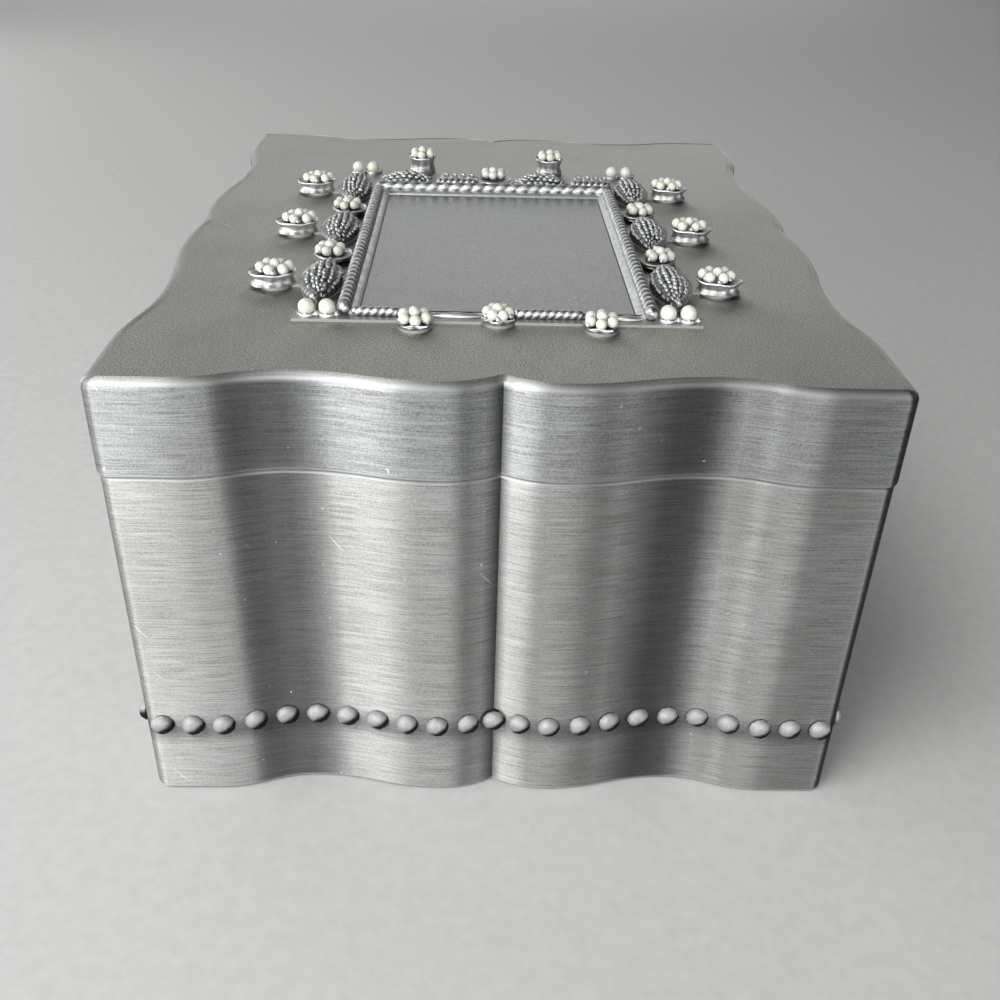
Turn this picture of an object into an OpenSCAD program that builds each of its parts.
// Keepsake box for a rosary: a wavy-sided metal base and hinged lid, a row of domed studs round the base,
// a pearl-set ornamental frame round a plain plate on the lid, and a velvet lining.
// Millimetres. X runs across the front, Y from the front to the back, Z up.
// The origin is under the middle of the box, on the surface that it stands on.

/* [Box] */
// Width of the base across the front, at its outermost points
box_w = 102; // [90:0.5:130]
// Length of the base from front to back, at its outermost points
box_l = 129.6; // [120:0.1:160]
// Height of the lid's top above the table
box_h = 68; // [55:0.5:90]
// Height of the lid, from the seam to its top
lid_h = 13.3; // [10:0.1:20]
// Open gap between the rim of the base and the rim of the lid
seam_gap = 0.3; // [0.2:0.05:0.6]
// How far the lid stands out past the base on each side
lid_overhang = 0.24; // [0.1:0.02:0.6]
// Thickness of the base's walls
base_wall = 1.2; // [0.8:0.1:1.8]
// Thickness of the base's floor
floor_t = 1.5; // [1:0.1:3]
// Thickness of the lid's walls
lid_wall = 1.1; // [0.8:0.1:1.1]
// Thickness of the lid's top
lid_top_t = 1.4; // [1:0.1:3]
// Radius of the rolled edge round the lid's top
edge_roll = 1.2; // [0.8:0.1:2.4]
// Radius of the box's upright corners
corner_r = 2.1; // [1.5:0.1:4]

/* [Waves] */
// Place of the rounded crest beside a cusp, as a share of half a side
crest_at = 0.155; // [0.13:0.005:0.18]
// Place of the hollow, as a share of half a side
hollow_at = 0.524; // [0.48:0.004:0.56]
// Place where the outer crest runs out straight, as a share of half a side
shoulder_at = 0.808; // [0.78:0.004:0.84]
// Depth of the crest beside the cusp below the outer crest
crest_d = 0.09; // [0:0.01:0.3]
// Depth of the cusp in the front and back
cusp_d = 2.26; // [1.6:0.02:2.6]
// Depth of the hollows in the front and back
hollow_d = 2.7; // [1.6:0.05:3]
// Depth of the cusp in the left and right sides
side_cusp_d = 1.05; // [0.6:0.05:2]
// Depth of the hollows in the left and right sides
side_hollow_d = 2.26; // [1.4:0.02:3]

/* [Studs] */
// Radius of a stud's foot
stud_r = 1.65; // [1:0.05:1.8]
// How far a stud stands out from the wall
stud_proud = 1.4; // [0.8:0.1:1.8]
// Height of the row of studs above the table
stud_z = 13.4; // [8:0.1:30]
// Step from the stud in the cusp to the next one
stud_first = 3.75; // [3.7:0.05:5]
// Step between the other studs
stud_step = 4.45; // [3.8:0.05:7]
// Distance that the last stud keeps from the box's corner
stud_end = 1.6; // [1.6:0.1:6]

/* [Hinges] */
// Outer radius of a knuckle
knuckle_r = 1.05; // [0.9:0.05:1.4]
// Radius of the hinge pin
pin_r = 0.5; // [0.4:0.05:0.6]
// Radial running clearance between the pin and the lid's knuckle
pin_clearance = 0.05; // [0.02:0.01:0.1]
// Width of one hinge
hinge_w = 13; // [10:0.5:16]
// Width of the lid's knuckle in the middle of a hinge
knuckle_mid = 5; // [3:0.1:7]
// Side clearance between neighbouring knuckles
knuckle_gap = 0.2; // [0.1:0.05:0.4]
// Height of a hinge's lug, measured from the pin
lug_h = 6; // [4:0.5:8]
// Radial clearance between a knuckle and the lug that it turns beside
lug_clearance = 0.25; // [0.15:0.05:0.5]

/* [Lining] */
// Thickness of the velvet-covered card on the walls
lining_t = 1.5; // [0.8:0.1:2]
// How far the wall lining stands up past the base's rim
lining_proud = 1.8; // [0.5:0.1:4]
// Gap between two lining cards where they meet in a corner
card_gap = 0.2; // [0.1:0.05:0.5]
// Height of the padded velvet floor
floor_pad_h = 4; // [2:0.5:8]
// Gap round a pad
pad_gap = 0.4; // [0.3:0.1:1]
// Height of the padded velvet in the lid
lid_pad_h = 3; // [1.5:0.5:4]
// Thickness of the felt under the base
felt_t = 1.2; // [0.8:0.1:2]
// Depth of the recess that holds the felt
felt_recess = 1; // [0.5:0.1:1.5]
// Width of the bare metal round the felt
felt_margin = 3; // [2.5:0.5:8]

/* [Frame] */
// Width of the plain plate in the frame
plate_w = 38.4; // [30:0.2:42]
// Length of the plain plate in the frame
plate_l = 58.4; // [46:0.2:62]
// Thickness of the plain plate
plate_t = 0.35; // [0.2:0.05:0.8]
// Place of the plate's middle across the lid
frame_x = -0.45; // [-2:0.05:2]
// Place of the plate's middle from front to back
frame_y = -13; // [-16:0.5:-8]
// Thickness of the frame's base sheet
sheet_t = 0.4; // [0.3:0.05:1]
// Width of the smooth strip between the plate and the rope
bevel_w = 0.9; // [0.5:0.1:1.5]
// Radius of the twisted rope along the sides and the back
rope_r = 1; // [0.8:0.05:1.2]
// Radius of the thinner twisted rope along the front
front_rope_r = 0.65; // [0.5:0.05:0.8]
// Clearance between the plate and the frame
plate_gap = 0.05; // [0.02:0.01:0.2]

/* [Garland] */
// Step between two outer clusters along a side
cluster_step = 24.7; // [23:0.1:26]
// Step between the two outer clusters along the front or back
short_step = 25.2; // [22:0.2:28]
// Distance from the rope's middle to the inner clusters
inner_off = 4.7; // [4.5:0.1:5.5]
// Distance from the rope's middle to the outer clusters
outer_off = 11.2; // [10.4:0.1:12]
// How far the garland's middle lies behind the plate's middle
garland_shift = 6.7; // [5:0.1:8]
// How far the back clusters are turned on, and the front ones turned back, round the frame
short_shift = 1.3; // [0:0.1:2]
// Radius of a pearl
pearl_r = 0.8; // [0.5:0.05:0.85]
// Radius of the larger pearls at the frame's corners
corner_pearl_r = 1.15; // [0.8:0.05:1.3]
// Radius of the cup under a cluster
cup_r = 2.5; // [2.4:0.1:2.7]
// Rise of the middle pearl over those round it
pearl_rise = 0.45; // [0:0.05:0.8]
// Height of the pearls in the inner clusters over the lid
inner_h = 1.6; // [1.5:0.1:3]
// Height of the pearls in the outer side clusters over the lid
outer_h = 2.8; // [1.6:0.1:4]
// Height of the pearls in the front clusters over the lid
front_h = 1.5; // [1.5:0.1:3]
// Height of the pearls in the back outer clusters over the lid
back_outer_h = 3.6; // [1.6:0.1:4.5]
// Height of the pearls in the back middle cluster over the lid
back_inner_h = 2.2; // [1.6:0.1:3]
// Distance from the front rope's middle out to the front outer clusters
front_outer_off = 2.7; // [2.4:0.1:4]
// Distance from the front rope's middle out to the front middle cluster
front_inner_off = 0.6; // [0:0.1:1.5]
// Distance from the back rope's middle out to the back middle cluster
back_inner_off = 7.8; // [7.4:0.1:9]
// Distance from the back rope's middle out to the back outer clusters
back_outer_off = 16.7; // [15:0.1:18]
// Length of a leaf
leaf_l = 16; // [12:0.2:17]
// Length of a leaf behind the frame
back_leaf_l = 10.4; // [8:0.2:12]
// Width of a leaf behind the frame
back_leaf_w = 6.8; // [5:0.1:7]
// How far a back leaf's middle lies to the left of its cluster
back_leaf_off = 2.4; // [0:0.1:3]
// Width of a leaf
leaf_w = 5.6; // [4:0.1:7]
// Gap between the rope and a leaf
leaf_gap = 0.5; // [0.2:0.1:1]
// Height of a leaf's crown over the base sheet
leaf_h = 2.7; // [1.5:0.1:3.5]
// Height of a leaf's edge at its two tips
leaf_tip_h = 0.5; // [0.2:0.1:1]
// Radius of the twisted stem behind the back rope
stem_r = 1.2; // [0.6:0.1:1.6]
// Radius of the low curls behind the stem
curl_r = 2; // [1:0.1:2.4]

/* [Hidden] */
$fn = 48;

half_w = box_w / 2;
half_l = box_l / 2;
lid_half_w = half_w + lid_overhang;
lid_half_l = half_l + lid_overhang;
seam_z = box_h - lid_h;
base_top = seam_z - seam_gap / 2;
lid_bottom = seam_z + seam_gap / 2;
rim_z = felt_t - felt_recess;
floor_z = felt_t + floor_t;
lid_ceiling = box_h - lid_top_t;
lining_in = base_wall + lining_t;
// Smallest radius left in an inner corner
tight_r = 0.3;
// Extra length of a cutting solid past the face that it cuts
past = 1;

// Waves: a side's half is a chain of tangent arcs, listed as points [distance from the middle, inset].
// The inset t moves each arc's radius, so that walls, linings and pads all follow the same line.
function swell(cu, cd, r, a0, a1, n) =
    [for (i = [1:n]) let (a = a0 + (a1 - a0) * i / n) [cu + r * sin(a), cd - r * cos(a)]];
function dip(cu, cd, r, a0, a1, n) =
    [for (i = [1:n]) let (a = a0 + (a1 - a0) * i / n) [cu + r * sin(a), cd + r * cos(a)]];
function s_radius(run, rise) = (run * run + rise * rise) / (4 * rise);

function half_side(half, cusp, hollow, t) =
    let (
        uc = crest_at * half,
        uh = hollow_at * half,
        us = shoulder_at * half,
        rc = (uc * uc + pow(cusp - crest_d, 2)) / (2 * (cusp - crest_d)),
        r1 = s_radius(uh - uc, hollow - crest_d),
        r2 = s_radius(us - uh, hollow),
        ac = asin(uc / rc),
        a1 = asin((uh - uc) / 2 / r1),
        a2 = asin((us - uh) / 2 / r2)
    )
    concat(
        [[0, cusp + t / cos(ac)]],
        swell(uc, crest_d + rc, rc - t, -ac, 0, 8),
        swell(uc, crest_d + r1, r1 - t, 0, a1, 4),
        dip(uh, hollow - r1, r1 + t, -a1, 0, 4),
        dip(uh, hollow - r2, r2 + t, 0, a2, 5),
        swell(us, r2, r2 - t, -a2, 0, 5)
    );

function reversed(list) = [for (i = [len(list) - 1:-1:0]) list[i]];
function whole_side(half, cusp, hollow, t) =
    let (h = half_side(half, cusp, hollow, t))
    concat([for (p = reversed(h)) [-p[0], p[1]]], [for (i = [1:len(h) - 1]) h[i]]);

// A corner's arc, centred the same distance in from both sides; deg is the direction it starts in
function corner(cx, cy, r, deg) =
    [for (i = [0:6]) let (a = deg + 90 * i / 6) [cx + r * cos(a), cy + r * sin(a)]];

// The box's line in plan, a and b being the half width and half length, moved in by t
function outline(a, b, t) =
    let (
        fb = whole_side(a, cusp_d, hollow_d, t),
        lr = whole_side(b, side_cusp_d, side_hollow_d, t),
        r = max(corner_r - t, tight_r),
        cx = a - t - r,
        cy = b - t - r
    )
    concat(
        [for (p = fb) [p[0], -b + p[1]]],
        corner(cx, -cy, r, -90),
        [for (p = lr) [a - p[1], p[0]]],
        corner(cx, cy, r, 0),
        [for (p = fb) [-p[0], b - p[1]]],
        corner(-cx, cy, r, 90),
        [for (p = lr) [-a + p[1], -p[0]]],
        corner(-cx, -cy, r, 180)
    );

module base_plan(t) {
    polygon(outline(half_w, half_l, t));
}

module lid_plan(t) {
    polygon(outline(lid_half_w, lid_half_l, t));
}

module base_shell() {
    color("#8f9192")
    difference() {
        translate([0, 0, rim_z]) linear_extrude(base_top - rim_z) base_plan(0);
        translate([0, 0, floor_z]) linear_extrude(base_top - floor_z + past) base_plan(base_wall);
        translate([0, 0, rim_z - past]) linear_extrude(felt_recess + past) base_plan(felt_margin);
    }
}

module base_felt() {
    color("#2b2c30") linear_extrude(felt_t) base_plan(felt_margin);
}

module floor_pad() {
    color("#34323c")
    translate([0, 0, floor_z]) linear_extrude(floor_pad_h) base_plan(lining_in + pad_gap);
}

// A quarter of the plan that is mitred into the corners, for the side that faces the direction deg
module quarter(deg, out, depth, along) {
    rotate(deg)
    translate([0, -out]) polygon([
        [-along + card_gap, 0],
        [along - card_gap, 0],
        [along - card_gap - depth, depth],
        [-along + card_gap + depth, depth]
    ]);
}

// Deep enough to take in the lining where it follows the deepest wave
quarter_d = lining_in + max(hollow_d, cusp_d, side_hollow_d, side_cusp_d) + 2 * lining_t;

module lining(deg, out, along) {
    color("#3a3743")
    translate([0, 0, floor_z]) linear_extrude(base_top + lining_proud - floor_z)
    intersection() {
        difference() {
            base_plan(base_wall);
            base_plan(lining_in);
        }
        quarter(deg, out, quarter_d, along);
    }
}

module lining_front() { lining(0, half_l, half_w); }
module lining_back() { lining(180, half_l, half_w); }
module lining_right() { lining(90, half_w, half_l); }
module lining_left() { lining(270, half_w, half_l); }

// Inset of the wall at distance u from the middle, read along the half side's points
function inset_at(pts, u) =
    let (k = [for (i = [0:len(pts) - 2]) if (pts[i][0] <= u && u < pts[i + 1][0]) i])
    len(k) == 0 ? 0 : let (p = pts[k[0]], q = pts[k[0] + 1])
    p[1] + (q[1] - p[1]) * (u - p[0]) / (q[0] - p[0]);

stud_ball_r = (stud_r * stud_r + stud_proud * stud_proud) / (2 * stud_proud);

// Depth of stud behind the wall's face, before it is cut to the wall's curve
stud_seat = 0.4;

// One domed stud that faces -Y from y = 0
module stud() {
    rotate([90, 0, 0])
    rotate_extrude()
    intersection() {
        translate([0, stud_proud - stud_ball_r]) circle(stud_ball_r);
        translate([0, -stud_seat]) square([stud_r, stud_proud + stud_seat]);
    }
}

// The studs of one side, which faces -Y at y = -out; each leans with the wall behind it
module stud_row(half, out, cusp, hollow) {
    pts = half_side(half, cusp, hollow, 0);
    places = concat([stud_first], [for (u = [stud_first + stud_step:stud_step:half - stud_end]) u]);
    // The stud in the cusp rests on the cusp's two lips
    translate([0, -out + inset_at(pts, stud_r), stud_z]) stud();
    for (u = places) for (s = [-1, 1]) {
        lean = atan((inset_at(pts, u + stud_r / 2) - inset_at(pts, u - stud_r / 2)) / stud_r);
        translate([s * u, -out + inset_at(pts, u), stud_z]) rotate(s * lean) stud();
    }
}

// The row on the side that faces the direction deg, with its backs cut to the wall
module seated_row(deg, half, out, cusp, hollow) {
    color("#8f9192")
    difference() {
        rotate(deg) stud_row(half, out, cusp, hollow);
        translate([0, 0, stud_z - stud_r - past]) linear_extrude(2 * (stud_r + past)) base_plan(0);
    }
}

module studs_front() { seated_row(0, half_w, half_l, cusp_d, hollow_d); }
module studs_back() { seated_row(180, half_w, half_l, cusp_d, hollow_d); }
module studs_right() { seated_row(90, half_l, half_w, side_cusp_d, side_hollow_d); }
module studs_left() { seated_row(270, half_l, half_w, side_cusp_d, side_hollow_d); }

// Hinges: each sits in a hollow of the back. Its pin lies on the lid's outermost plane at the seam,
// so that the lid's rim clears the base's as it turns.
hinge_x = hollow_at * half_w;
pin_y = lid_half_l;
lug_d = hollow_d + lid_overhang + base_wall / 2;
knuckle_end = (hinge_w - knuckle_mid) / 2 - knuckle_gap;
lug_start = knuckle_r + lug_clearance;

module barrel(r, from, long) {
    translate([from, 0, 0]) rotate([0, 90, 0]) cylinder(r = r, h = long);
}

// The base's half of a hinge, drawn round its pin: two end knuckles on a lug
module hinge_base(x) {
    color("#7d7f80")
    difference() {
        translate([x, pin_y, seam_z]) difference() {
            union() {
                translate([-hinge_w / 2, -lug_d, -lug_h]) cube([hinge_w, lug_d, lug_h - lug_start]);
                for (from = [-hinge_w / 2, hinge_w / 2 - knuckle_end]) {
                    barrel(knuckle_r, from, knuckle_end);
                    translate([from, -knuckle_r, -lug_h]) cube([knuckle_end, knuckle_r, lug_h]);
                }
            }
            barrel(pin_r, -hinge_w / 2 - past, hinge_w + 2 * past);
        }
        translate([0, 0, rim_z]) linear_extrude(base_top - rim_z) base_plan(0);
    }
}

// The lid's half: one middle knuckle on a lug
module hinge_lid(x) {
    color("#7d7f80")
    difference() {
        translate([x, pin_y, seam_z]) difference() {
            union() {
                translate([-hinge_w / 2, -lug_d, lug_start]) cube([hinge_w, lug_d, lug_h - lug_start]);
                barrel(knuckle_r, -knuckle_mid / 2, knuckle_mid);
                translate([-knuckle_mid / 2, -knuckle_r, 0]) cube([knuckle_mid, knuckle_r, lug_h]);
            }
            barrel(pin_r + pin_clearance, -knuckle_mid / 2 - past, knuckle_mid + 2 * past);
        }
        translate([0, 0, lid_bottom]) linear_extrude(lid_h) lid_plan(0);
    }
}

module hinge_pin(x) {
    color("#a5a7a8") translate([x, pin_y, seam_z]) barrel(pin_r, -hinge_w / 2, hinge_w);
}

module hinge_base_left() { hinge_base(-hinge_x); }
module hinge_base_right() { hinge_base(hinge_x); }
module hinge_lid_left() { hinge_lid(-hinge_x); }
module hinge_lid_right() { hinge_lid(hinge_x); }
module hinge_pin_left() { hinge_pin(-hinge_x); }
module hinge_pin_right() { hinge_pin(hinge_x); }

// The lid is one skin through a chain of rings: the ceiling's edge, the rim's inner and outer edges,
// and the rings of the rolled edge up to the flat top; the ceiling and the top are fans round a middle point
roll_steps = 5;

function lid_ring(t, z) = [for (p = outline(lid_half_w, lid_half_l, t)) [p[0], p[1], z]];
function roll_ring(a) = lid_ring(edge_roll * (1 - cos(a)), box_h - edge_roll * (1 - sin(a)));

module lid_shell() {
    rings = concat(
        [lid_ring(lid_wall, lid_ceiling), lid_ring(lid_wall, lid_bottom), lid_ring(0, lid_bottom)],
        [for (k = [0:roll_steps]) roll_ring(90 * k / roll_steps)]
    );
    n = len(rings[0]);
    last = len(rings) - 1;
    ceiling_mid = len(rings) * n;
    top_mid = ceiling_mid + 1;
    color("#8f9192")
    polyhedron(
        concat([for (ring = rings) for (p = ring) p], [[0, 0, lid_ceiling], [0, 0, box_h]]),
        concat(
            [for (i = [0:n - 1]) [ceiling_mid, i, (i + 1) % n]],
            [for (k = [0:last - 1]) for (i = [0:n - 1]) let (j = (i + 1) % n)
                [k * n + i, (k + 1) * n + i, (k + 1) * n + j, k * n + j]],
            [for (i = [0:n - 1]) [top_mid, last * n + (i + 1) % n, last * n + i]]
        )
    );
}

module lid_pad() {
    color("#34323c")
    translate([0, 0, lid_ceiling - lid_pad_h]) linear_extrude(lid_pad_h) lid_plan(lid_wall + pad_gap);
}

// Ornamental frame: places are measured from the plate's middle
rope_x = plate_w / 2 + bevel_w + rope_r;
back_rope_y = plate_l / 2 + bevel_w + rope_r;
front_rope_y = -plate_l / 2 - bevel_w / 2 - front_rope_r;
sheet_top = box_h + sheet_t;
inner_x = rope_x + inner_off;
outer_x = rope_x + outer_off;
leaf_x = rope_x + rope_r + leaf_gap + leaf_w / 2;
back_leaf_y = back_rope_y + rope_r + leaf_gap + back_leaf_w / 2;
// Width of the sheet that shows round what stands on it
sheet_rim = 0.4;
garland_end = 1.5 * cluster_step;

// Clusters as [x, y, height of the pearls over the lid]
side_clusters = concat(
    [for (k = [-1:1]) [outer_x, garland_shift + k * cluster_step, outer_h]],
    [for (k = [-0.5, 0.5]) [inner_x, garland_shift + k * cluster_step, inner_h]]
);
front_clusters = [
    [short_shift - short_step / 2, front_rope_y - front_outer_off, front_h],
    [0, front_rope_y - front_inner_off, front_h],
    [short_shift + short_step / 2, front_rope_y - front_outer_off, front_h]
];
back_clusters = [
    [-short_shift - short_step / 2, back_rope_y + back_outer_off, back_outer_h],
    [0, back_rope_y + back_inner_off, back_inner_h],
    [-short_shift + short_step / 2, back_rope_y + back_outer_off, back_outer_h]
];
back_leaf_xs = [back_clusters[0][0] - back_leaf_off, back_clusters[2][0] - back_leaf_off];
corner_x = rope_x + rope_r + corner_pearl_r + 0.1;
corner_step = 2 * corner_pearl_r + 0.5;
corner_reach = corner_x + corner_step + corner_pearl_r + 2 * sheet_rim;
stem_y = back_rope_y + rope_r + stem_r;
curl_y = stem_y + stem_r + curl_r;

module on_lid() {
    translate([frame_x, frame_y, 0]) children();
}

module name_plate() {
    color("#77797b")
    on_lid() translate([-plate_w / 2 + plate_gap, -plate_l / 2 + plate_gap, box_h])
        cube([plate_w - 2 * plate_gap, plate_l - 2 * plate_gap, plate_t]);
}

// The sheet in plan: the rails, a tab or arm under each corner's pearls, a foot under each leaf and
// cluster, and a stem out to each cluster
module sheet_plan() {
    tab_l = 2 * (corner_pearl_r + sheet_rim);
    front_tab = garland_shift - garland_end - tab_l / 2;
    back_tab = garland_shift + garland_end - tab_l / 2;
    translate([-rope_x - rope_r, front_rope_y - front_rope_r])
        square([2 * (rope_x + rope_r), curl_y + curl_r + sheet_rim - front_rope_y + front_rope_r]);
    translate([-corner_reach, front_tab]) square([2 * corner_reach, tab_l]);
    arm = [
        [rope_x - rope_r, back_rope_y],
        [rope_x + rope_r, back_rope_y],
        [corner_reach, back_tab],
        [corner_reach, back_tab + tab_l],
        [corner_x - corner_pearl_r - sheet_rim, back_tab + tab_l]
    ];
    polygon(arm);
    polygon(reversed([for (p = arm) [-p[0], p[1]]]));
    for (s = [-1, 1]) {
        for (k = [-1:1])
            translate([s * leaf_x, garland_shift + k * cluster_step]) leaf_plan(leaf_l, leaf_w, sheet_rim);
        for (c = side_clusters) {
            translate([s * c[0], c[1]]) circle(cup_r);
            translate([min(s * rope_x, s * c[0]), c[1] - pearl_r]) square([c[0] - rope_x, 2 * pearl_r]);
        }
    }
    for (x = back_leaf_xs) translate([x, back_leaf_y]) rotate(90) leaf_plan(back_leaf_l, back_leaf_w, sheet_rim);
    for (c = back_clusters) {
        translate([c[0], c[1]]) circle(cup_r);
        translate([c[0] - pearl_r, back_rope_y]) square([2 * pearl_r, c[1] - back_rope_y]);
    }
    for (c = front_clusters) translate([c[0], c[1]]) circle(cup_r);
}

module frame_sheet() {
    color("#8a8c8d")
    on_lid() translate([0, 0, box_h]) linear_extrude(sheet_t) difference() {
        sheet_plan();
        translate([-plate_w / 2, -plate_l / 2]) square([plate_w, plate_l]);
    }
}

module rope_left() { color("#97999a") long_rope(-rope_x); }
module rope_right() { color("#97999a") long_rope(rope_x); }

// A side rope, cut square at the back rope and at the frame's front
module long_rope(x) {
    on_lid() translate([x, front_rope_y - front_rope_r, sheet_top + rope_r])
        rotate([-90, 0, 0]) cylinder(r = rope_r, h = back_rope_y - rope_r - front_rope_y + front_rope_r);
}

module rope_back() {
    color("#97999a")
    on_lid() translate([-rope_x - rope_r, back_rope_y, sheet_top + rope_r])
        rotate([0, 90, 0]) cylinder(r = rope_r, h = 2 * (rope_x + rope_r));
}

// The front rope runs between the cups of the front clusters and the side ropes
module rope_front() {
    color("#97999a")
    difference() {
        on_lid() translate([-rope_x + rope_r, front_rope_y, sheet_top + front_rope_r])
            rotate([0, 90, 0]) cylinder(r = front_rope_r, h = 2 * (rope_x - rope_r));
        on_lid() for (c = front_clusters)
            translate([c[0], c[1], box_h]) cylinder(r = cup_r, h = 2 * front_h);
    }
}

// A leaf's pointed oval lies where two circles overlap; grow widens it all round
function leaf_arc_r(long, wide) = (long * long + wide * wide) / (4 * wide);

module leaf_plan(long, wide, grow) {
    r = leaf_arc_r(long, wide);
    intersection() {
        translate([r - wide / 2, 0]) circle(r + grow, $fn = 96);
        translate([wide / 2 - r, 0]) circle(r + grow, $fn = 96);
    }
}

// A leaf: a low dome over a pointed oval that lies along Y, with its foot at z = 0
module leaf(long, wide) {
    r = leaf_arc_r(long, wide);
    rise = leaf_h - leaf_tip_h;
    dome_r = (long * long / 4 + rise * rise) / (2 * rise);
    intersection() {
        translate([r - wide / 2, 0, 0]) cylinder(r = r, h = leaf_h + past, $fn = 96);
        translate([wide / 2 - r, 0, 0]) cylinder(r = r, h = leaf_h + past, $fn = 96);
        translate([0, 0, leaf_h - dome_r]) sphere(dome_r, $fn = 96);
    }
}

module side_leaves(side) {
    color("#6f7173")
    on_lid() for (k = [-1:1])
        translate([side * leaf_x, garland_shift + k * cluster_step, sheet_top]) leaf(leaf_l, leaf_w);
}

module leaves_left() { side_leaves(-1); }
module leaves_right() { side_leaves(1); }

module leaves_back() {
    color("#6f7173")
    on_lid() for (x = back_leaf_xs)
        translate([x, back_leaf_y, sheet_top]) rotate(90) leaf(back_leaf_l, back_leaf_w);
}

// Behind the back rope a stem and curls run on from each leaf: to the middle cup, and to the frame's end
leaf_end = back_leaf_l / 2 + 0.3;
row_spans = [[back_leaf_xs[0] + leaf_end, -cup_r - 0.3], [back_leaf_xs[1] + leaf_end, rope_x + rope_r]];

module stems_back() {
    color("#97999a")
    on_lid() for (span = row_spans)
        translate([span[0], stem_y, sheet_top + stem_r]) rotate([0, 90, 0])
            cylinder(r = stem_r, h = span[1] - span[0]);
}

// Half-round curls that lie on the sheet
module curls_back() {
    color("#8a8c8d")
    intersection() {
        on_lid() for (span = row_spans)
            translate([span[0], curl_y, sheet_top]) rotate([0, 90, 0]) cylinder(r = curl_r, h = span[1] - span[0]);
        translate([-half_w, -half_l, sheet_top]) cube([box_w, box_l, 2 * curl_r]);
    }
}

// Cups stand on the sheet and their flat tops carry the pearls
module cups(clusters, r = pearl_r) {
    color("#8a8c8d")
    on_lid() for (c = clusters)
        translate([c[0], c[1], sheet_top]) cylinder(r = cup_r, h = box_h + c[2] - r - sheet_top);
}

function mirrored(list) = [for (c = list) [-c[0], c[1], c[2]]];

module cups_front() { cups(front_clusters); }
module cups_back() { cups(back_clusters); }
module cups_right() { cups(side_clusters); }
module cups_left() { cups(mirrored(side_clusters)); }

// Pearls: one in the middle, raised, and six round it
pearl_ring_r = 2 * pearl_r + 0.02;

module pearls(clusters) {
    color("#e9e7d6")
    on_lid() for (c = clusters) translate([c[0], c[1], box_h + c[2]]) {
        translate([0, 0, pearl_rise]) sphere(pearl_r);
        for (k = [0:5]) rotate(60 * k) translate([pearl_ring_r, 0, 0]) sphere(pearl_r);
    }
}

module pearls_front() { pearls(front_clusters); }
module pearls_back() { pearls(back_clusters); }
module pearls_right() { pearls(side_clusters); }
module pearls_left() { pearls(mirrored(side_clusters)); }

// Two larger pearls side by side at each end of the garland's sides, on the sheet
module corner_pearls() {
    color("#e9e7d6")
    on_lid() for (s = [-1, 1]) for (e = [-1, 1]) for (k = [0, 1])
        translate([s * (corner_x + k * corner_step), garland_shift + e * garland_end, sheet_top + corner_pearl_r])
            sphere(corner_pearl_r);
}

base_shell();
base_felt();
floor_pad();
lining_front();
lining_back();
lining_left();
lining_right();
studs_front();
studs_back();
studs_left();
studs_right();
hinge_base_left();
hinge_base_right();
hinge_pin_left();
hinge_pin_right();
hinge_lid_left();
hinge_lid_right();
lid_shell();
lid_pad();
frame_sheet();
name_plate();
rope_front();
rope_back();
rope_left();
rope_right();
leaves_left();
leaves_right();
leaves_back();
stems_back();
curls_back();
cups_front();
cups_back();
cups_left();
cups_right();
pearls_front();
pearls_back();
pearls_left();
pearls_right();
corner_pearls();
